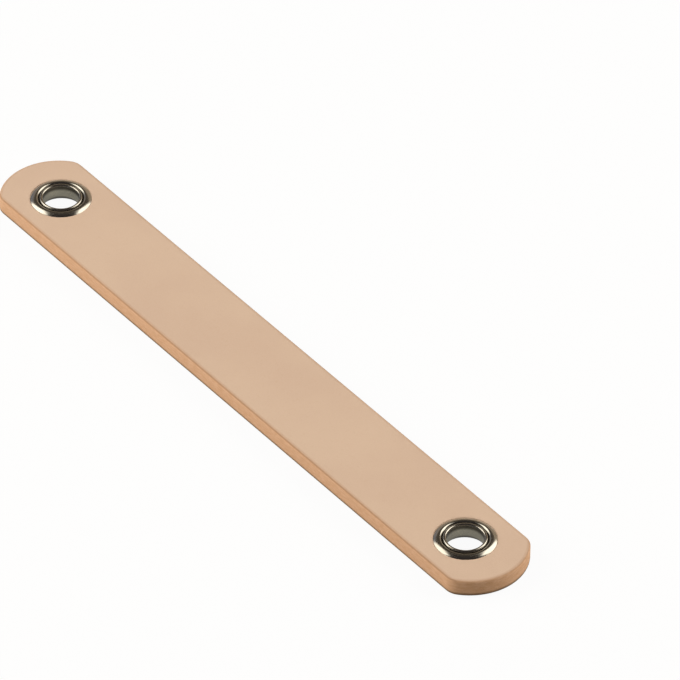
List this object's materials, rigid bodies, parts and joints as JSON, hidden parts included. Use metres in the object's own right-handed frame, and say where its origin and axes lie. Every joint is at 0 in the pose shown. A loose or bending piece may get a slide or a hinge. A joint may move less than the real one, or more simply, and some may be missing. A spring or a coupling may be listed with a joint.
{
  "type": "leather strap door handle",
  "caption": "Flat leather strap pull with curved ends and a rolled metal eyelet near each end, screwed to a door or drawer through the eyelets.",
  "frame": {"origin": "middle of the strap, at the surface that it lies on: the centre of the base of the bounding box", "axes": "+X along the strap, +Y across it, +Z out of the grain side, where the washers are"},
  "size_m": [0.153, 0.019, 0.0043],
  "materials": {
    "leather": "undyed vegetable-tanned leather, smooth matt grain side, plain cut edges",
    "nickel": "polished nickel plate on stamped sheet"
  },
  "bodies": {
    "root": {"leather_strap": "leather", "eyelet_barrel_left": "nickel", "eyelet_washer_left": "nickel", "eyelet_barrel_right": "nickel", "eyelet_washer_right": "nickel"}
  },
  "joints": []
}
